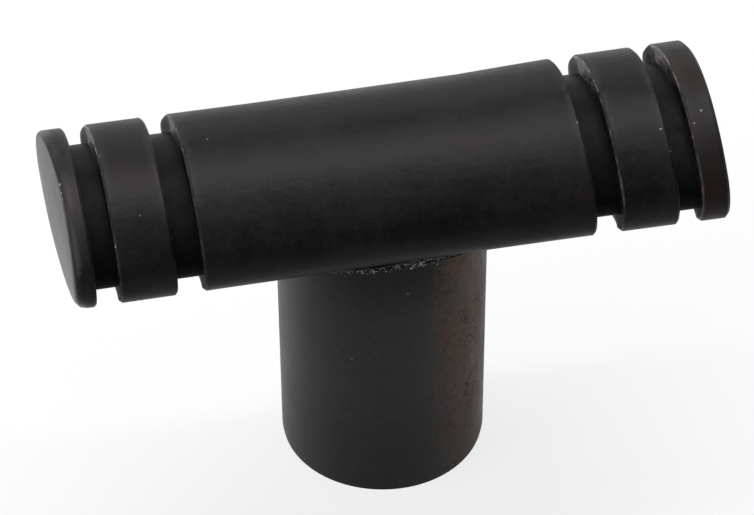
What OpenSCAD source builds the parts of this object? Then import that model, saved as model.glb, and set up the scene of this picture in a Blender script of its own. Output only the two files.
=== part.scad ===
/* [Bar] */
// Length of the plain middle of the cross bar
middle_length = 35.3; // [24:0.1:80]
// Front to back width of the oval rod
bar_depth = 20.8; // [20:0.1:26]
// Height of the oval rod
bar_thickness = 11.7; // [10:0.1:14]
// Radius of the rounded front and back of the oval rod
nose_radius = 3.1; // [3:0.1:4.5]
// Small flat that breaks each sharp rim
rim_break = 0.2; // [0.1:0.05:0.4]
// Wider bevel that softens the rim of each end face
end_bevel = 0.3; // [0.1:0.05:0.6]

/* [Grooves] */
// Width of the thin disc at the left end
left_disc_width = 1.75; // [1.2:0.05:4]
// Width of the thin disc at the right end
right_disc_width = 2.55; // [1.2:0.05:4]
// Width of the groove behind each end disc
outer_groove_width = 2.1; // [1:0.1:3]
// Width of the raised band between the two grooves
band_width = 5.1; // [2:0.1:7]
// Width of the groove nearest to the middle
inner_groove_width = 2.4; // [1:0.1:3]
// Depth of all four grooves
groove_depth = 1.6; // [0.5:0.1:2.2]

/* [Stem] */
// Diameter of the round stem
stem_diameter = 19; // [12:0.5:19]
// Height of the bar's centre line above the mounting face
bar_height = 30.7; // [28:0.1:45]
// Small bevel round the foot
foot_break = 0.4; // [0.1:0.1:1]

/* [Joint] */
// Thickness of the filler between the stem and the bar
filler_thickness = 0.35; // [0.2:0.05:0.6]
// Distance that the filler stops short of the stem's side
filler_setback = 0.25; // [0.1:0.05:0.6]

/* [Screw hole] */
// Diameter of the tapped hole before its thread
hole_diameter = 3.3; // [2.5:0.1:5]
// Depth of the straight part of the hole, mouth included
hole_depth = 16; // [8:0.5:18]
// Width of the bevel at the mouth of the hole
hole_mouth = 0.5; // [0.2:0.1:1]

/* [Hidden] */
$fn = 240;

// Everything round in the oval rod is a true arc. The large arcs above and below
// meet the two noses where one straight line passes through both centres.
nose_y = bar_depth / 2 - nose_radius;
big_radius = (pow(nose_y, 2) + pow(bar_thickness / 2, 2) - pow(nose_radius, 2)) / (bar_thickness - 2 * nose_radius);
big_drop = big_radius - bar_thickness / 2;
meet = [nose_y, big_drop] / (big_radius - nose_radius);

// How far the sectors of the oval reach, well outside it
reach = bar_depth;

stem_radius = stem_diameter / 2;
hole_radius = hole_diameter / 2;
drill_angle = 118;
drill_tip = hole_radius / tan(drill_angle / 2);

// Extra length that carries a cut clear of what it cuts
overcut = 1;

// Where each band is centred and each end disc starts, out from the middle of the bar
band_x = middle_length / 2 + inner_groove_width + band_width / 2;
disc_x = band_x + band_width / 2 + outer_groove_width;

// A straight slice about the X axis, centred on it
module plain_slice(radius, width) {
    rotate([0, 90, 0])
        cylinder(r = radius, h = width, center = true);
}

// The same with both rims bevelled, the one towards +X by its own amount
module bevelled_slice(radius, width, bevel) {
    rotate([0, 90, 0])
        rotate_extrude()
            polygon([
                [0, -width / 2],
                [radius - rim_break, -width / 2],
                [radius, -width / 2 + rim_break],
                [radius, width / 2 - bevel],
                [radius - bevel, width / 2],
                [0, width / 2]
            ]);
}

// A prism along X whose outline lies in the YZ plane
module prism(outline, width) {
    rotate([90, 0, 90])
        linear_extrude(height = width, center = true)
            polygon(outline);
}

// The part of the oval between the two noses
module between_noses(width) {
    prism([
        [nose_y, 0],
        [nose_y, 0] + meet * reach,
        [-nose_y - meet[0] * reach, meet[1] * reach],
        [-nose_y, 0],
        [-nose_y - meet[0] * reach, -meet[1] * reach],
        [nose_y + meet[0] * reach, -meet[1] * reach]
    ], width);
}

// The part of the oval in front of or behind the nose's centre
module beyond_nose(width) {
    prism([
        [nose_y, 0],
        [nose_y, 0] + meet * reach,
        [nose_y + reach * 2, meet[1] * reach],
        [nose_y + reach * 2, -meet[1] * reach],
        [nose_y + meet[0] * reach, -meet[1] * reach]
    ], width);
}

// Puts the large arcs' slice, then the noses' slice, into their places in the oval
module oval(width) {
    intersection() {
        translate([0, 0, big_drop])
            children(0);
        translate([0, 0, -big_drop])
            children(0);
        between_noses(width + overcut);
    }
    for (side = [-1, 1])
        intersection() {
            translate([0, side * nose_y, 0])
                children(1);
            rotate([0, 0, 90 - side * 90])
                beyond_nose(width + overcut);
        }
}

// The rod that the grooves are cut down to
module groove_floor(width) {
    oval(width) {
        plain_slice(big_radius - groove_depth, width);
        plain_slice(nose_radius - groove_depth, width);
    }
}

// A raised length of full oval between two grooves, or between a groove and an end
module land(width, bevel) {
    oval(width) {
        bevelled_slice(big_radius, width, bevel);
        bevelled_slice(nose_radius, width, bevel);
    }
}

// The same oval for cutting a saddle, with whole noses that lap into the middle part
module saddle_cutter(width, grow) {
    intersection() {
        translate([0, 0, big_drop])
            plain_slice(big_radius + grow, width);
        translate([0, 0, -big_drop])
            plain_slice(big_radius + grow, width);
        between_noses(width + overcut);
    }
    for (side = [-1, 1])
        translate([0, side * nose_y, 0])
            plain_slice(nose_radius + grow, width);
}

module bar() {
    color("dimgray")
        translate([0, 0, bar_height]) {
            groove_floor(2 * disc_x + min(left_disc_width, right_disc_width));
            land(middle_length, rim_break);
            for (side = [-1, 1])
                translate([side * band_x, 0, 0])
                    land(band_width, rim_break);
            translate([disc_x + right_disc_width / 2, 0, 0])
                land(right_disc_width, end_bevel);
            rotate([0, 0, 180])
                translate([disc_x + left_disc_width / 2, 0, 0])
                    land(left_disc_width, end_bevel);
        }
}

module screw_hole() {
    translate([0, 0, -overcut])
        cylinder(r = hole_radius, h = hole_depth + overcut);
    translate([0, 0, hole_depth])
        cylinder(r1 = hole_radius, r2 = 0, h = drill_tip);
    translate([0, 0, -overcut])
        cylinder(r1 = hole_radius + hole_mouth + overcut, r2 = hole_radius, h = hole_mouth + overcut);
}

module stem() {
    color("slategray")
        difference() {
            rotate_extrude()
                polygon([
                    [0, 0],
                    [stem_radius - foot_break, 0],
                    [stem_radius, foot_break],
                    [stem_radius, bar_height],
                    [0, bar_height]
                ]);
            translate([0, 0, bar_height])
                saddle_cutter(stem_diameter + 2 * overcut, filler_thickness);
            screw_hole();
        }
}

module braze_seam() {
    color("darkkhaki")
        difference() {
            intersection() {
                cylinder(r = stem_radius - filler_setback, h = bar_height);
                translate([0, 0, bar_height])
                    saddle_cutter(stem_diameter + 2 * overcut, filler_thickness);
            }
            translate([0, 0, bar_height])
                saddle_cutter(stem_diameter + 4 * overcut, 0);
        }
}

bar();
stem();
braze_seam();
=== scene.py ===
import math
import random

import bmesh
import bpy
from mathutils import Matrix, Vector


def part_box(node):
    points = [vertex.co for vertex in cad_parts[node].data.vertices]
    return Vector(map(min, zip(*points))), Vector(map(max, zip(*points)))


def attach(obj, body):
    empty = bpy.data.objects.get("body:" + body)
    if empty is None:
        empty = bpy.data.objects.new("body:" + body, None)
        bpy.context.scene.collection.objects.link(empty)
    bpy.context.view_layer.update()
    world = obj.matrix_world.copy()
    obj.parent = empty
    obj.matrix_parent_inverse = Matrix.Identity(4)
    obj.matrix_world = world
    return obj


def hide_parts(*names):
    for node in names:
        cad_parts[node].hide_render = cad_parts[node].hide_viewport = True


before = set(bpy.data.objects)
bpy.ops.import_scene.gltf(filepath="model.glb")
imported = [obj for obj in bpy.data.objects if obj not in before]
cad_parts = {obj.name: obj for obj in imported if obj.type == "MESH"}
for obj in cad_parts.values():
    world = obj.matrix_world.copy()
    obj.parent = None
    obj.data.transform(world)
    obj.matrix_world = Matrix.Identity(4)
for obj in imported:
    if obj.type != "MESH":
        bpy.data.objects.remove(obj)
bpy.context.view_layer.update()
print("frame loaded:", sorted(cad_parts))

mm = 0.001

# the photograph's width, in pixels
photoWidth = 754

# where the camera stands: angles in degrees, lengths in millimetres, the lens in pixels
cameraSetup = {
    "azimuth": -10.578,
    "elevation": 42.814,
    "roll": -1.015,
    "distance": 443.503,
    "focalPixels": 4945.322,
    "aimHeight": 30.5,
    "aimRight": -0.228,
    "aimUp": -7.318,
    "sensorWidth": 36,
    "clipStart": 10,
    "clipEnd": 20000,
}


def directionOf(azimuth, elevation):
    # azimuth 0 lies in front of the knob, on the -Y side, and 90 on its +X side
    a = math.radians(azimuth)
    e = math.radians(elevation)
    return Vector((math.sin(a) * math.cos(e), -math.cos(a) * math.cos(e), math.sin(e)))


def makeCamera(setup):
    back = directionOf(setup["azimuth"], setup["elevation"])
    level = Vector((0, 0, 1)).cross(back).normalized()
    turn = Matrix.Rotation(math.radians(setup["roll"]), 3, back)
    right = turn @ level
    up = back.cross(right)
    aim = Vector((0, 0, setup["aimHeight"])) + right * setup["aimRight"] + up * setup["aimUp"]
    data = bpy.data.cameras.new("photoCamera")
    data.sensor_fit = "HORIZONTAL"
    data.sensor_width = setup["sensorWidth"]
    data.lens = setup["focalPixels"] * setup["sensorWidth"] / photoWidth
    data.clip_start = setup["clipStart"] * mm
    data.clip_end = setup["clipEnd"] * mm
    camera = bpy.data.objects.new("photoCamera", data)
    bpy.context.scene.collection.objects.link(camera)
    axes = Matrix((right, up, back)).transposed().to_4x4()
    camera.matrix_world = Matrix.Translation((aim + back * setup["distance"]) * mm) @ axes
    bpy.context.scene.camera = camera


makeCamera(cameraSetup)
print("camera placed")


class Wire:
    # a node's output, with the arithmetic that adds Math nodes to its tree

    def __init__(self, tree, socket=None):
        self.tree = tree
        self.socket = socket

    def node(self, kind, settings, inputs, output=0):
        made = self.tree.nodes.new("ShaderNode" + kind)
        for name, value in settings.items():
            setattr(made, name, value)
        for name, value in inputs.items():
            if isinstance(value, Wire):
                self.tree.links.new(value.socket, made.inputs[name])
            else:
                made.inputs[name].default_value = value
        return Wire(self.tree, made.outputs[output] if made.outputs else None)

    def other(self, output):
        return Wire(self.tree, self.socket.node.outputs[output])

    def math(self, operation, *values):
        return self.node("Math", {"operation": operation}, dict(enumerate(values)))

    def __add__(self, other):
        return self.math("ADD", self, other)

    def __radd__(self, other):
        return self.math("ADD", other, self)

    def __sub__(self, other):
        return self.math("SUBTRACT", self, other)

    def __rsub__(self, other):
        return self.math("SUBTRACT", other, self)

    def __mul__(self, other):
        return self.math("MULTIPLY", self, other)

    def __rmul__(self, other):
        return self.math("MULTIPLY", other, self)

    def __truediv__(self, other):
        return self.math("DIVIDE", self, other)

    def __abs__(self):
        return self.math("ABSOLUTE", self)

    def step(self, low, high):
        # 0 below low and 1 above high, or the other way round where low is the larger
        settings = {"interpolation_type": "SMOOTHSTEP"}
        if low < high:
            return self.node("MapRange", settings, {0: self, 1: low, 2: high})
        return self.node("MapRange", settings, {0: self, 1: high, 2: low, 3: 1, 4: 0})

    def sway(self, amount):
        # a cloud runs from 0 to 1, and this runs as far below zero as above it
        return (self - 0.5) * amount


def lowest(first, *others):
    for other in others:
        first = first.math("MINIMUM", first, other)
    return first


def highest(first, *others):
    for other in others:
        first = first.math("MAXIMUM", first, other)
    return first


def mixValue(mask, a, b):
    return mask.node("Mix", {"data_type": "FLOAT"}, {0: mask, 2: a, 3: b})


def mixColour(mask, a, b):
    inputs = {0: mask}
    for name, colour in ((6, a), (7, b)):
        inputs[name] = colour if isinstance(colour, Wire) else (*colour, 1)
    return mask.node("Mix", {"data_type": "RGBA"}, inputs, 2)


def mixShader(mask, a, b):
    return mask.node("MixShader", {}, {0: mask, 1: a, 2: b})


def stretched(place, sizes, turn=(0, 0, 0)):
    # the pattern's grain is this many millimetres along each axis, after the turn in degrees
    inputs = {
        "Vector": place,
        "Rotation": tuple(math.radians(angle) for angle in turn),
        "Scale": tuple(1 / size for size in sizes),
    }
    return place.node("Mapping", {"vector_type": "POINT"}, inputs)


def cloud(place, grain, detail=2, roughness=0.5, seed=0):
    settings = {"noise_dimensions": "4D"}
    inputs = {
        "Vector": place,
        "W": seed,
        "Scale": 1 / grain,
        "Detail": detail,
        "Roughness": roughness,
    }
    return place.node("TexNoise", settings, inputs)


def blended(clouds, shares):
    # the sum of the clouds, each times its share
    total = clouds[0] * shares[0]
    for wire, share in zip(clouds[1:], shares[1:]):
        total = total + wire * share
    return total


def varied(middle, clouds, amounts):
    # a number that each cloud makes larger or smaller, by an amount for each
    for wire, amount in zip(clouds, amounts):
        middle = middle + wire.sway(amount)
    return middle


def emptyTree(owner):
    # the owner is a material or a world
    owner.use_nodes = True
    owner.node_tree.nodes.clear()
    return Wire(owner.node_tree)


def startMaterial(name):
    # an empty material, and places on its object in millimetres
    material = bpy.data.materials.new(name)
    place = emptyTree(material).node("TexCoord", {}, {}, "Object")
    return material, place.node("VectorMath", {"operation": "SCALE"}, {0: place, "Scale": 1 / mm})


def axesOf(place):
    x = place.node("SeparateXYZ", {}, {0: place})
    return x, x.other(1), x.other(2)


def finishMaterial(material, shader):
    shader.node("OutputMaterial", {}, {"Surface": shader})
    return material


def bumped(height, depth, softRims=0, samples=6):
    # depth and the rims' radius are in millimetres
    inputs = {"Height": height, "Strength": 1, "Distance": depth * mm}
    if softRims:
        inputs["Normal"] = height.node("Bevel", {"samples": samples}, {"Radius": softRims * mm})
    return height.node("Bump", {}, inputs)


def coated(colour, roughness, specular, normal, tint=(1, 1, 1)):
    return normal.node("BsdfPrincipled", {}, {
        "Base Color": colour if isinstance(colour, Wire) else (*colour, 1),
        "Roughness": roughness,
        "Specular IOR Level": specular,
        "Specular Tint": (*tint, 1),
        "Normal": normal,
    })


def spotted(colour, place, ragged, spots, spotColour, raggedness=0.1, core=0.5):
    # each spot has its place and its radius, a rim that a cloud makes ragged, and a full core
    for *middle, radius in spots:
        ends = {0: place, 1: tuple(middle)}
        away = place.node("VectorMath", {"operation": "DISTANCE"}, ends, "Value")
        spot = (away + ragged.sway(raggedness)).step(radius, radius * core)
        colour = mixColour(spot, colour, spotColour)
    return colour


def paint(piece, material):
    piece.data.materials.clear()
    piece.data.materials.append(material)


# the bar's shape in millimetres, as the frame has it
barShape = {
    "middle": 35.3,
    "innerGroove": 2.4,
    "band": 5.1,
    "outerGroove": 2.1,
    "noseRadius": 3.1,
    "grooveDepth": 1.6,
    "endBevel": 0.3,
}
barLow, barHigh = (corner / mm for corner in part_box("bar"))
barHeight = (barLow.z + barHigh.z) / 2
barCentre = Vector((0, 0, barHeight))
halfDepth = (barHigh.y - barLow.y) / 2
halfThickness = (barHigh.z - barLow.z) / 2
noseRadius = barShape["noseRadius"]
noseY = halfDepth - noseRadius
bigRadius = (noseY ** 2 + halfThickness ** 2 - noseRadius ** 2) / (2 * (halfThickness - noseRadius))
bigDrop = bigRadius - halfThickness
# the way across the bar that is straight up in the photograph, towards the back and the top
topWay = Vector((0, 0.68, 0.73))

rimPlaces = [barShape["middle"] / 2]
for width in (barShape["innerGroove"], barShape["band"], barShape["outerGroove"]):
    rimPlaces.append(rimPlaces[-1] + width)


# the real bar is hand finished: its left end face slants and is a little crowned, the walls that
# face left lean, the ends swell and the grooves aren't quite even; lengths are in millimetres
barWear = {
    # each end face: its place along the bar, its move there, and its move per mm back and per mm up
    "leaningEnds": [(-29.05, -0.37, -0.042, 0.024), (29.75, 0.09, 0.012, 0)],
    "endReach": 1.4,
    # rings inside the left end face, which lies within the margin of the bar's end
    "rings": (0.3, 0.4, 0.6),
    "faceMargin": 0.01,
    # where that face is cut for its curves
    "cutsAcross": (-9, -7.5, -6, -4.5, -3, -1.5, 0, 1.5, 3, 4.5, 6, 7.5, 9),
    "cutsUp": (-4.5, -3, -1.5, 0, 1.5, 3, 4.5),
    # the radius of its soft rim and the height of its crown, at the top back and at the lower front
    "softRim": (0.4, 0.95),
    "crown": (0.20, 0.30),
    "crownReach": 5,
    # it curves outwards to the front, by this per square mm
    "frontCurve": -0.0035,
    # each leaning wall: its place, and its hidden side's move at the middle and per mm back and up
    "leaningWalls": [
        (-25.15, -0.10, -0.042),
        (-17.65, -0.16, -0.055),
        (20.05, 0.05, -0.054),
        (27.25, 0.02, -0.078),
    ],
    "wallReach": 0.36,
    # the way that the hidden side of each wall faces, and how far out on it the lean is full
    "hiddenSide": (0, 0.32, -0.95),
    "hiddenReach": 3,
    # places along the bar and how much the upper and the lower half swell there
    "swell": [
        (-29, 0.024, 0),
        (-18, 0.011, 0),
        (-10, 0, 0),
        (9, 0, 0),
        (17, 0.032, 0.006),
        (30, 0.036, 0.026),
    ],
    "swellReach": 8.3,
    # where the bar is cut for its swelling
    "cutsAlong": (-14, -10, -5, 0, 5, 9, 13),
    # each groove: its middle, and how much shallower it is on the lower side
    "shallow": [(-26.2, 0.15), (-18.85, 0.25), (18.85, 0.1), (26.2, 0.6)],
    "shallowReach": 2,
    "shallowSteepness": 1.5,
    "floorMargin": 0.05,
}


def ovalDepth(y, z):
    # how far a point lies outside the bar's oval outline, below zero inside it
    y = abs(y)
    z = abs(z - barHeight)
    nose = y.math("SQRT", (y - noseY) * (y - noseY) + z * z) - noseRadius
    big = y.math("SQRT", y * y + (z + bigDrop) * (z + bigDrop)) - bigRadius
    inNose = y.math("GREATER_THAN", (y - noseY) * bigDrop - z * noseY, 0)
    return mixValue(inNose, big, nose)


def endDistances(x, y, z):
    # how far inside each leaning end face a point lies
    left, right = (
        move + perBack * y + perUp * (z - barHeight)
        for _, move, perBack, perUp in barWear["leaningEnds"]
    )
    return x - left - barLow.x, barHigh.x + right - x


def rimDistance(x, leftEnd, rightEnd):
    # how far along the bar the nearest rim is
    distances = [abs(abs(x) - place) for place in rimPlaces]
    return lowest(*distances, abs(leftEnd), abs(rightEnd))


# the bar: colours are linear, sizes in millimetres
barFinish = {
    "darkest": (0.0022, 0.0023, 0.0029),
    "rubbed": (0.0078, 0.0066, 0.0061),
    "paleEnd": (0.024, 0.022, 0.021),
    "warm": (0.0120, 0.0075, 0.0065),
    "wearAndHighlightHalo": (0.0170, 0.0158, 0.0152),
    "rimWear": (0.070, 0.042, 0.037),
    "rimWearHighlight": (0.150, 0.141, 0.136),
    "rimWearWidth": 0.13,
    "wallGlintSpecks": (0.200, 0.180, 0.175),
    # this dark colour is groove soot and also painted shade in the grooves
    "sootAndShade": (0.0012, 0.0012, 0.0013),
    "tint": (1, 0.95, 0.97),
    "specular": 0.1,
    "darkeningSpecular": 0.02,
    # shares of the clouds, the fine clouds and the grain in the mottled colour
    "mottle": (0.4, 0.3, 0.3),
    "roughness": 0.42,
    "endRoughness": 0.30,
    "wallRoughness": 0.36,
    "darkeningRoughness": 0.6,
    # how much the roughness varies with the clouds, the fine clouds and the turned marks
    "roughnessSway": (0.16, 0.14, 0.08),
    "endSway": (0.1, 0.1),
    "wallSway": 0.2,
    "bumpDepth": 0.012,
    # how many bump depths the grain, the fine clouds, the dents and the turned marks come to
    "relief": (1.5, 1.5, 4.5, 0.3),
    "endRelief": (0.5, 0.6, 1),
    "gritRelief": 5,
    "softRims": 0.12,
    "softFace": 0.25,
    "chip": (0.200, 0.195, 0.190),
    "chips": [
        (20.0, -4.7, 35.3, 0.15), (28.6, -3.6, 36.1, 0.13), (25.0, -6.8, 34.7, 0.13),
        (24.6, -4.8, 35.7, 0.13), (17.4, -3.0, 36.2, 0.13), (27.7, -4.7, 35.7, 0.11),
        (20.1, -1.1, 36.3, 0.10), (-24.9, 1.1, 36.5, 0.12), (-28.9, -1.5, 36.2, 0.17),
        (-28.9, -2.4, 36.0, 0.14), (-28.9, -3.0, 35.8, 0.14), (27.3, -5.8, 35.1, 0.09),
        (28.5, 1.5, 36.4, 0.09), (23.6, 2.8, 36.2, 0.08), (-17.6, -6.7, 34.8, 0.08),
        (29.2, 5.3, 35.5, 0.08), (27.3, -2.4, 36.1, 0.10), (-22.5, -5.9, 35.2, 0.10),
        (-15.2, 1.4, 36.5, 0.10), (-25.1, -8.0, 33.9, 0.09),
    ],
}


def makeBarFinish(finish):
    material, place = startMaterial("blackenedBrass")
    x, y, z = axesOf(place)
    depth = ovalDepth(y, z)
    leftEnd, rightEnd = endDistances(x, y, z)
    rim = rimDistance(x, leftEnd, rightEnd)
    topSide = y * topWay.y + (z - barHeight) * topWay.z
    clouds = cloud(place, 5, detail=3, roughness=0.55, seed=1)
    fine = cloud(place, 0.7, detail=3, roughness=0.6, seed=2)
    grain = cloud(place, 0.16, roughness=0.6, seed=3)
    turned = cloud(stretched(place, (0.12, 2.5, 2.5)), 1, seed=4)
    dents = cloud(place, 2.2, seed=8)

    mottle = blended((clouds, fine, grain), finish["mottle"]).step(0.38, 0.62)
    colour = mixColour(mottle, finish["darkest"], finish["rubbed"])
    # the right end disc and the lower corner of the left one are a little warmer
    warm = highest(x.step(25.5, 28), z.step(27.6, 25.8) * (x * -1).step(26.5, 28.5))
    colour = mixColour(warm * cloud(place, 2.5, seed=9).step(0.3, 0.7), colour, finish["warm"])

    # the left disc is paler near its end except at its top and bottom, the rims are rubbed, and the
    # lands next to them are paler on their upper side, as rubbed wear with a painted highlight
    paleEndMask = leftEnd.step(1.9, 0.3) * depth.step(-2.2, -0.4)
    paleEndMask = paleEndMask * topSide.step(8, 2) * topSide.step(-5.5, 0.5)
    colour = mixColour(paleEndMask, colour, finish["paleEnd"])
    offEnd = 1 - lowest(leftEnd, rightEnd).step(0.8, 0.3)
    wall = rim.step(0.04, 0.01) * offEnd
    # the lands next to the rims are paler on their upper side: rubbed wear with a painted highlight
    wearAndHighlightHalo = rim.step(1.1, 0) * topSide.step(-3, 2) * depth.step(-0.4, -0.1)
    colour = mixColour(wearAndHighlightHalo * offEnd * (clouds + fine).step(0.8, 1.1), colour, finish["wearAndHighlightHalo"])
    fromEdge = highest(rim, 0 - depth)
    wear = (fromEdge + fine.sway(0.3)).step(finish["rimWearWidth"], 0)
    wear = wear * cloud(place, 1.6, seed=5).step(0.36, 0.54)
    # the rims are rubbed, and those that face left are painted paler than those that face right,
    # most on the top: a painted highlight where the light catches them
    leftward = [barWear["leaningEnds"][0], *barWear["leaningWalls"]]
    facesLeft = lowest(*(abs(x - rimX) for rimX, *_ in leftward)).step(0.6, 0.5)
    wornRimAndHighlight = mixColour(facesLeft * topSide.step(-7, 1), finish["rimWear"], finish["rimWearHighlight"])
    colour = mixColour(wear, colour, wornRimAndHighlight)

    inside = depth.step(-0.1, -0.2)
    # pale specks on the groove walls are painted glints where the rough milled walls catch the
    # light
    glintSpecks = wall * inside * cloud(place, 0.22, roughness=0.6, seed=6).step(0.46, 0.64)
    # a little fainter on the left
    colour = mixColour(glintSpecks * mixValue(x.step(5, 15), 0.8, 1), colour, finish["wallGlintSpecks"])
    colour = spotted(colour, place, fine, finish["chips"], finish["chip"])

    roughness = varied(finish["roughness"], (clouds, fine, turned), finish["roughnessSway"])
    roughness = mixValue(wall, roughness, finish["wallRoughness"] + fine.sway(finish["wallSway"]))
    coarse = cloud(place, 0.35, detail=3, roughness=0.6, seed=7)
    height = blended((grain, fine, dents, turned), finish["relief"])
    height = height + wall * inside * coarse * finish["gritRelief"]
    shape = bumped(height, finish["bumpDepth"], finish["softRims"])
    coat = coated(colour, roughness, finish["specular"], shape, finish["tint"])
    # the left end face is smoother
    roughness = varied(finish["endRoughness"], (clouds, fine), finish["endSway"])
    height = blended((grain, fine, dents), finish["endRelief"])
    smooth = bumped(height, finish["bumpDepth"], finish["softFace"])
    face = coated(colour, roughness, finish["specular"], smooth, finish["tint"])
    shader = mixShader(leftEnd.step(1.3, 0.5), coat, face)

    # soot and wax lie in the grooves, and painted shade darkens them too: the floors the more the
    # lower they lie, the walls everywhere below their tops
    colour = mixColour(fine.step(0.62, 0.8), finish["sootAndShade"], finish["warm"])
    sootAndShade = coated(colour, finish["darkeningRoughness"], finish["darkeningSpecular"], shape)
    inGroove = mixValue(wall, depth.step(-0.3, -0.8), depth.step(-0.05, -0.25)) * offEnd
    onFloor = topSide.step(6, -1) * 0.3 + 0.42 + clouds.sway(0.4) + fine.sway(0.5)
    darkening = mixValue(wall, onFloor, topSide.step(6.5, 3.5) * 0.9)
    return finishMaterial(material, mixShader(inGroove * darkening, shader, sootAndShade))


# the stem: colours are linear, sizes in millimetres
stemFinish = {
    "darkest": (0.0024, 0.0026, 0.0032),
    "rubbed": (0.0098, 0.0082, 0.0071),
    "brown": (0.082, 0.042, 0.026),
    "cream": (0.130, 0.080, 0.056),
    "scratch": (0.050, 0.047, 0.044),
    "tint": (1, 0.95, 0.96),
    "specular": 0.17,
    "brownSpecular": 0.06,
    "darkeningSpecular": 0.03,
    # shares of the clouds, the fine clouds and the grain in the mottled colour
    "mottle": (0.3, 0.4, 0.3),
    "roughness": 0.40,
    "brownRoughness": 0.5,
    "darkeningRoughness": 0.6,
    # how much the roughness varies with the clouds and the fine clouds
    "roughnessSway": (0.16, 0.12),
    "brownSway": 0.2,
    "bumpDepth": 0.012,
    # how many bump depths the grain, the fine clouds, the brush marks each way, the curled marks
    # and the thread come to
    "relief": (1.5, 1.6, 0.8, 0.6, -1.2, 12),
    "softRims": 0.12,
    "threadPitch": 0.7,
    # the way that the brown side faces, along and across the bar
    "brownWay": (0.9, -0.45),
    # the column of curled marks: where its middle is along the bar and up the stem
    "curlX": 6.9,
    "curlHeight": 14,
    "nick": (0.180, 0.175, 0.170),
    "nicks": [
        (7.2, -6.1, 3.0, 0.10), (4.9, -8.1, 0.7, 0.12),
        (-4.4, -8.4, 16.5, 0.09), (0.6, -9.5, 24.6, 0.12),
    ],
}


def makeStemFinish(finish):
    material, place = startMaterial("blackenedStem")
    x, y, z = axesOf(place)
    clouds = cloud(place, 4, detail=3, roughness=0.6, seed=11)
    fine = cloud(place, 0.6, detail=3, roughness=0.6, seed=12)
    grain = cloud(place, 0.15, roughness=0.6, seed=13)
    brushed = stretched(place, (1.8, 1.8, 0.09), (0, 28, 0))
    brushed = cloud(brushed, 1, detail=3, roughness=0.6, seed=14)
    crossed = stretched(place, (2.2, 2.2, 0.08), (0, -12, 0))
    crossed = cloud(crossed, 1, detail=3, roughness=0.6, seed=15)

    mottle = blended((clouds, fine, grain), finish["mottle"]).step(0.38, 0.62)
    colour = mixColour(mottle, finish["darkest"], finish["rubbed"])
    scratches = highest(brushed.step(0.60, 0.70), crossed.step(0.62, 0.72))
    colour = mixColour(scratches * 0.3, colour, finish["scratch"])
    colour = spotted(colour, place, fine, finish["nicks"], finish["nick"])

    # the right side is rubbed brown, with cream streaks near the bar and a column of curled marks
    side = (blended((x, y), finish["brownWay"]) + clouds.sway(3) + fine.sway(1.5)).step(6.3, 8.7)
    patches = cloud(stretched(place, (3, 3, 7)), 1, detail=3, roughness=0.6, seed=16)
    brown = side * patches.step(0.15, 0.60)
    streaks = stretched(place, (0.5, 0.5, 2.2), (0, 35, 0))
    streaks = cloud(streaks, 1, detail=3, roughness=0.6, seed=17).step(0.50, 0.66)
    cream = streaks * x.step(6, 8.5) * z.step(17, 26)
    column = abs(x - finish["curlX"]).step(1.1, 0.5) * abs(z - finish["curlHeight"]).step(8, 5)
    column = column * (y * -1).step(0, 2)
    curls = abs(cloud(place, 1.1, detail=1, seed=18) - 0.5).step(0.030, 0.012) * column
    paleCurls = abs(cloud(place, 1.3, detail=1, seed=19) - 0.5).step(0.022, 0.010) * column
    brownColour = mixColour(fine.step(0.25, 0.6), colour, finish["brown"])
    brownColour = mixColour(cream * 0.6, brownColour, finish["cream"])
    brownColour = mixColour(paleCurls * 0.7, brownColour, finish["cream"])
    brownColour = mixColour(curls * 0.9, brownColour, finish["darkest"])

    # a tapped thread in the hole, of which the frame holds the plain bore
    turn = y.math("ARCTAN2", y, x) / math.tau + z / finish["threadPitch"]
    inHole = y.math("SQRT", x * x + y * y).step(2.0, 1.8) * z.step(0.3, 0.6)
    thread = y.math("SINE", turn * math.tau) * inHole

    roughness = varied(finish["roughness"], (clouds, fine), finish["roughnessSway"])
    roughness = roughness - scratches * 0.06
    height = blended((grain, fine, brushed, crossed, curls, thread), finish["relief"])
    shape = bumped(height, finish["bumpDepth"], finish["softRims"])
    coat = coated(colour, roughness, finish["specular"], shape, finish["tint"])
    roughness = finish["brownRoughness"] + patches.sway(finish["brownSway"])
    rubbed = coated(brownColour, roughness, finish["brownSpecular"], shape)
    darkening = coated(finish["darkest"], finish["darkeningRoughness"], finish["darkeningSpecular"], shape)
    marks = highest(brown * 0.85, highest(curls, paleCurls) * 0.8)
    shader = mixShader(marks, coat, rubbed)
    # darker and duller towards the foot and at the stem's top under the bar, with painted contact
    # shade on the foot's lowest edge and underside
    dull = highest(z.step(20, 27) * x.step(-9.5, -3) * (1 - side) * 0.5, z.step(15, 1) * 0.32)
    footContactShade = z.step(0.2, 0.1)
    return finishMaterial(material, mixShader(highest(footContactShade, dull), shader, darkening))


# the braze filler between the two: colours are linear, sizes in millimetres
fillerFinish = {
    "darkest": (0.006, 0.006, 0.0065),
    "pale": (0.22, 0.25, 0.265),
    "specular": 0.4,
    "roughness": 0.5,
    "bumpDepth": 0.12,
    # the barer, the fewer pale specks
    "bareSeam": 0.6,
    "bareLumps": 0.44,
    "speckFade": 0.12,
    "roughnessSway": 0.3,
}


def makeFillerFinish(name, finish, bare):
    material, place = startMaterial(name)
    grain = cloud(place, 0.25, detail=3, roughness=0.65, seed=21)
    specks = cloud(place, 0.35, roughness=0.6, seed=22).step(bare, bare + finish["speckFade"])
    colour = mixColour(specks, finish["darkest"], finish["pale"])
    shape = bumped(grain, finish["bumpDepth"])
    roughness = finish["roughness"] + grain.sway(finish["roughnessSway"])
    return finishMaterial(material, coated(colour, roughness, finish["specular"], shape))


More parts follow.
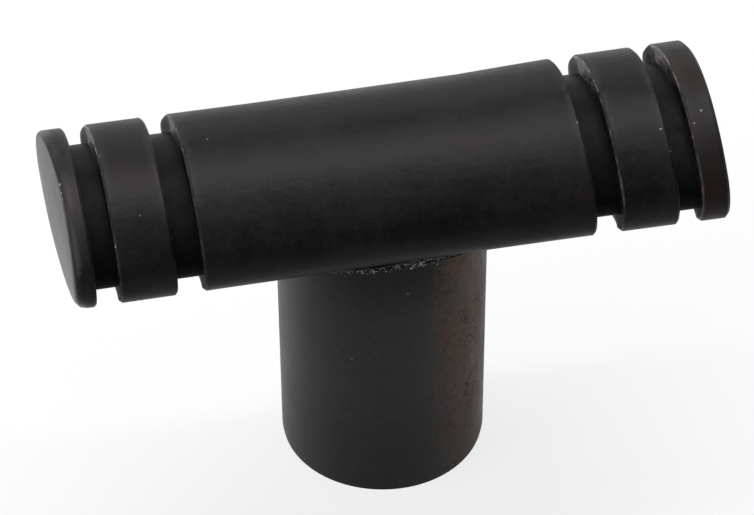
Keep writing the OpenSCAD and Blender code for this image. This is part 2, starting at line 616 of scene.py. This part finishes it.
def swellAt(wear, x):
    # between the places the amounts run straight
    places = wear["swell"]
    x = min(max(x, places[0][0]), places[-1][0])
    for (x0, *low), (x1, *high) in zip(places, places[1:]):
        if x <= x1:
            part = (x - x0) / (x1 - x0)
            return [a + (b - a) * part for a, b in zip(low, high)]


def insideOval(at):
    # how far a point lies inside the bar's oval outline
    y = abs(at.y)
    z = abs(at.z)
    if (y - noseY) * bigDrop > z * noseY:
        return noseRadius - math.hypot(y - noseY, z)
    return bigRadius - math.hypot(y, z + bigDrop)


def easy(part):
    # 0 to 1, with a soft start and a soft stop
    part = min(max(part, 0), 1)
    return part * part * (3 - 2 * part)


# how close corners are joined and cuts are snapped, in millimetres, and which folds stay sharp,
# in degrees
joinDistance = 0.001
snapDistance = 0.0001
sharpAngle = 36


def copyShape(node):
    # a CAD piece with its loose triangles joined
    shape = bmesh.new()
    shape.from_mesh(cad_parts[node].data)
    bmesh.ops.remove_doubles(shape, verts=shape.verts, dist=joinDistance * mm)
    return shape


def cutShape(shape, parts, place, facing):
    bmesh.ops.bisect_plane(
        shape, geom=parts, dist=snapDistance * mm, plane_co=place, plane_no=facing,
    )


def makeObject(shape, name):
    mesh = bpy.data.meshes.new(name)
    shape.to_mesh(mesh)
    shape.free()
    made = bpy.data.objects.new(name, mesh)
    bpy.context.scene.collection.objects.link(made)
    return made


def makePiece(shape, name, node=None):
    for face in shape.faces:
        face.smooth = True
    piece = makeObject(shape, name)
    if "custom_normal" in piece.data.attributes:
        piece.data.attributes.remove(piece.data.attributes["custom_normal"])
    piece.data.set_sharp_from_angle(angle=math.radians(sharpAngle))
    if node:
        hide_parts(node)
    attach(piece, "root")
    return piece


def cutEndFace(shape, wear):
    # rings in the left end face, and cuts both ways inside them, so that it can curve
    outermost = barLow.x + wear["faceMargin"]
    cap = [face for face in shape.faces if face.calc_center_median().x < outermost * mm]
    cap = bmesh.ops.dissolve_faces(shape, faces=cap)["region"]
    for width in wear["rings"]:
        bmesh.ops.inset_region(shape, faces=cap, thickness=width * mm, use_even_offset=True)
    ringed = barShape["endBevel"] + sum(wear["rings"])
    planes = [((0, place, 0), (0, 1, 0)) for place in wear["cutsAcross"]]
    planes += [((0, 0, barHeight + place), (0, 0, 1)) for place in wear["cutsUp"]]
    for place, facing in planes:
        near = []
        for face in shape.faces:
            middle = face.calc_center_median() / mm - barCentre
            if middle.x < outermost and insideOval(middle) > ringed:
                near.append(face)
        lines = list(dict.fromkeys(line for face in near for line in face.edges))
        corners = list(dict.fromkeys(corner for face in near for corner in face.verts))
        cutShape(shape, corners + lines + near, Vector(place) * mm, facing)


def wornPlace(wear, at):
    # where a corner of the bar goes, both places seen from the bar's centre
    inside = max(insideOval(at), 0)
    above = at.dot(topWay) / wear["swellReach"]
    if at.x < barLow.x + wear["wallReach"]:
        # from 0 at the top back to 1 at the lower front
        front = easy(0.5 - above / 2)
        radius, crown = (
            back + (fore - back) * front for back, fore in (wear["softRim"], wear["crown"])
        )
        at.x = barLow.x + radius - math.sqrt(radius ** 2 - max(radius - inside, 0) ** 2)
        fromMiddle = max(1 - inside / wear["crownReach"], 0)
        at.x += crown * fromMiddle ** 2 + wear["frontCurve"] * min(at.y, 0) ** 2
    for place, move, perBack, perUp in wear["leaningEnds"]:
        if abs(at.x - place) < wear["endReach"]:
            at.x += move + perBack * at.y + perUp * at.z
            break
    for place, move, perSide in wear["leaningWalls"]:
        if abs(at.x - place) < wear["wallReach"]:
            hidden = at.dot(Vector(wear["hiddenSide"])) / wear["hiddenReach"]
            at.x += (move + perSide * at.dot(topWay)) * easy(hidden)
            break
    if inside > barShape["grooveDepth"] - wear["floorMargin"]:
        for place, lift in wear["shallow"]:
            if abs(at.x - place) < wear["shallowReach"]:
                outward = Vector((0, at.y / halfDepth, at.z / halfThickness)).normalized()
                at += outward * lift * easy(-above * wear["shallowSteepness"])
    upper, lower = swellAt(wear, at.x)
    grow = 1 + (upper * above if above > 0 else -lower * above)
    return Vector((at.x, at.y * grow, at.z * grow))


def makeWornBar(wear):
    shape = copyShape("bar")
    cutEndFace(shape, wear)
    for place in wear["cutsAlong"]:
        everything = shape.verts[:] + shape.edges[:] + shape.faces[:]
        cutShape(shape, everything, (place * mm, 0, 0), (1, 0, 0))
    for corner in shape.verts:
        corner.co = (wornPlace(wear, corner.co / mm - barCentre) + barCentre) * mm
    return makePiece(shape, "wornBar", "bar")


# the stem narrows a little to the foot on its right side, and its foot has a crisper edge
stemWear = {
    "taper": 0.018,
    "evenHeight": 13,
    "sideReach": 0.5,
    "footOut": 0.33,
    "footReach": 0.1,
}


def makeWornStem(wear):
    shape = copyShape("stem")
    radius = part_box("stem")[1].x / mm
    for corner in shape.verts:
        at = corner.co / mm
        away = math.hypot(at.x, at.y)
        if away > radius - wear["sideReach"]:
            if at.z < wear["footReach"]:
                at.x *= 1 + wear["footOut"] / away
                at.y *= 1 + wear["footOut"] / away
            at.x += wear["taper"] * (at.z - wear["evenHeight"]) * max(at.x, 0) / radius
        corner.co = at * mm
    return makePiece(shape, "wornStem", "stem")


# the filler's rough bead and lumps: sizes in millimetres, angles in degrees from the front
fillerShape = {
    "seed": 5,
    "beadRadius": 0.22,
    "beadSides": 8,
    "beadPlace": 9.3,
    "beadDrop": 0.22,
    "beadTurns": 180,
    "beadWobble": 0.09,
    # each run of lumps: how many, from and to which angle, least and greatest size and drop
    "runs": [
        (70, -8, 26, (0.04, 0.12), (0.25, 0.85)),
        (28, 5, 13, (0.05, 0.14), (0.30, 0.80)),
        (60, -36, -8, (0.03, 0.10), (0.25, 0.95)),
        (24, -22, -14, (0.05, 0.12), (0.35, 0.80)),
        (60, 0, 360, (0.04, 0.11), (0.20, 0.50)),
    ],
    "lumpPlace": 9.47,
    # each lump's corners move by this part of its radius
    "lumpWobble": (-0.3, 0.5),
    # the higher, the more of the lumps are small or sit close under the bar
    "smallness": 2,
    "closeness": 1.5,
}


def underside(y):
    # the height of the bar's underside
    return barHeight + bigDrop - math.sqrt(bigRadius ** 2 - y ** 2)


def sortFaces(shape):
    # spin makes its faces in an order that differs from run to run, so their corners set it
    shape.verts.index_update()
    count = len(shape.verts)

    def rank(face):
        corners = [corner.index for corner in face.verts]
        return min(corners) * count + max(corners)

    shape.faces.sort(key=rank)


def makeBead(wear, chance):
    shape = bmesh.new()
    ring = bmesh.ops.create_circle(shape, segments=wear["beadSides"], radius=wear["beadRadius"])
    bmesh.ops.rotate(shape, verts=ring["verts"], matrix=Matrix.Rotation(math.pi / 2, 3, "X"))
    bmesh.ops.translate(shape, verts=ring["verts"], vec=(wear["beadPlace"], 0, 0))
    bmesh.ops.spin(
        shape, geom=shape.verts[:] + shape.edges[:], axis=(0, 0, 1), cent=(0, 0, 0),
        angle=math.tau, steps=wear["beadTurns"], use_merge=True,
    )
    sortFaces(shape)
    for corner in shape.verts:
        wobble = 1 + chance.uniform(-1, 1) * wear["beadWobble"] / wear["beadPlace"]
        lift = underside(corner.co.y) - wear["beadDrop"]
        lift += chance.uniform(-1, 1) * wear["beadWobble"]
        corner.co = Vector((corner.co.x * wobble, corner.co.y * wobble, corner.co.z + lift)) * mm
    bmesh.ops.recalc_face_normals(shape, faces=shape.faces)
    return makePiece(shape, "fillerBead")


def makeLumps(wear, chance):
    shape = bmesh.new()
    for count, start, stop, sizes, drops in wear["runs"]:
        for _ in range(count):
            angle = math.radians(chance.uniform(start, stop))
            size = sizes[0] + (sizes[1] - sizes[0]) * chance.random() ** wear["smallness"]
            drop = drops[0] + (drops[1] - drops[0]) * chance.random() ** wear["closeness"]
            y = -wear["lumpPlace"] * math.cos(angle)
            at = Vector((wear["lumpPlace"] * math.sin(angle), y, underside(y) - drop))
            lump = bmesh.ops.create_icosphere(
                shape, subdivisions=1, radius=size, matrix=Matrix.Translation(at),
            )
            for corner in lump["verts"]:
                corner.co += (corner.co - at) * chance.uniform(*wear["lumpWobble"])
    for corner in shape.verts:
        corner.co *= mm
    return makePiece(shape, "fillerLumps")


wornBar = makeWornBar(barWear)
wornStem = makeWornStem(stemWear)
fillerChance = random.Random(fillerShape["seed"])
fillerBead = makeBead(fillerShape, fillerChance)
fillerLumps = makeLumps(fillerShape, fillerChance)
print("pieces shaped")

paint(wornBar, makeBarFinish(barFinish))
paint(wornStem, makeStemFinish(stemFinish))
fillerMaterial = makeFillerFinish("brazeFiller", fillerFinish, fillerFinish["bareSeam"])
paint(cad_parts["braze_seam"], fillerMaterial)
paint(fillerBead, fillerMaterial)
paint(fillerLumps, makeFillerFinish("paleFiller", fillerFinish, fillerFinish["bareLumps"]))
print("finishes painted")


# the studio: sizes in metres, lights in watts
studio = {
    "floorSize": 4,
    "floorColour": (0.12, 0.12, 0.12),
    "floorRoughness": 0.9,
    "floorSpecular": 0.1,
    "floorGlow": 0.8,
    "backdrop": (0.93, 0.93, 0.93),
    "fill": 0.02,
    # each softbox: where it stands from the knob, how far, its width and height, its power
    "softboxes": {
        "overheadStrip": (176, 76, 0.7, 0.9, 0.07, 4.2),
        "overheadFade": (176, 61, 0.7, 0.9, 0.22, 3.4),
        "topFill": (0, 76, 0.8, 0.9, 0.3, 0.9),
        "frontFill": (-5, 22, 1.0, 0.9, 0.4, 0.7),
        "leftPanel": (-80, 28, 0.9, 0.6, 0.7, 5.8),
        "backPanel": (180, 20, 1.2, 1.6, 0.5, 4.2),
    },
}


def makeFloor(setup):
    shape = bmesh.new()
    bmesh.ops.create_grid(shape, x_segments=1, y_segments=1, size=setup["floorSize"] / 2)
    floor = makeObject(shape, "studioFloor")
    material = bpy.data.materials.new("paleFloor")
    tree = emptyTree(material)
    paper = tree.node("BsdfPrincipled", {}, {
        "Base Color": (*setup["floorColour"], 1),
        "Roughness": setup["floorRoughness"],
        "Specular IOR Level": setup["floorSpecular"],
        "Emission Color": (1, 1, 1, 1),
        "Emission Strength": setup["floorGlow"],
    })
    # seen from below, the floor lets the camera look at the foot
    clear = tree.node("BsdfTransparent", {}, {})
    fromBelow = tree.node("NewGeometry", {}, {}, "Backfacing")
    ownView = tree.node("LightPath", {}, {}, "Is Camera Ray")
    paint(floor, finishMaterial(material, mixShader(fromBelow * ownView, paper, clear)))


def makeWorld(setup):
    # a pale backdrop that hardly lights the knob
    world = bpy.data.worlds.new("studioWorld")
    tree = emptyTree(world)
    seen = tree.node("Background", {}, {"Color": (*setup["backdrop"], 1), "Strength": 1})
    felt = tree.node("Background", {}, {"Color": (1, 1, 1, 1), "Strength": setup["fill"]})
    ownView = tree.node("LightPath", {}, {}, "Is Camera Ray")
    both = mixShader(ownView, felt, seen)
    both.node("OutputWorld", {}, {"Surface": both})
    bpy.context.scene.world = world


def makeSoftbox(name, azimuth, elevation, distance, width, height, power):
    data = bpy.data.lights.new(name, "AREA")
    data.shape = "RECTANGLE"
    data.size = width
    data.size_y = height
    data.energy = power
    light = bpy.data.objects.new(name, data)
    light.visible_camera = False
    bpy.context.scene.collection.objects.link(light)
    toLight = directionOf(azimuth, elevation)
    light.location = Vector((0, 0, barHeight * mm)) + toLight * distance
    light.rotation_euler = toLight.to_track_quat("Z", "Y").to_euler()


makeFloor(studio)
makeWorld(studio)
for name, values in studio["softboxes"].items():
    makeSoftbox(name, *values)
bpy.context.scene.view_settings.view_transform = "Standard"
print("studio lit")
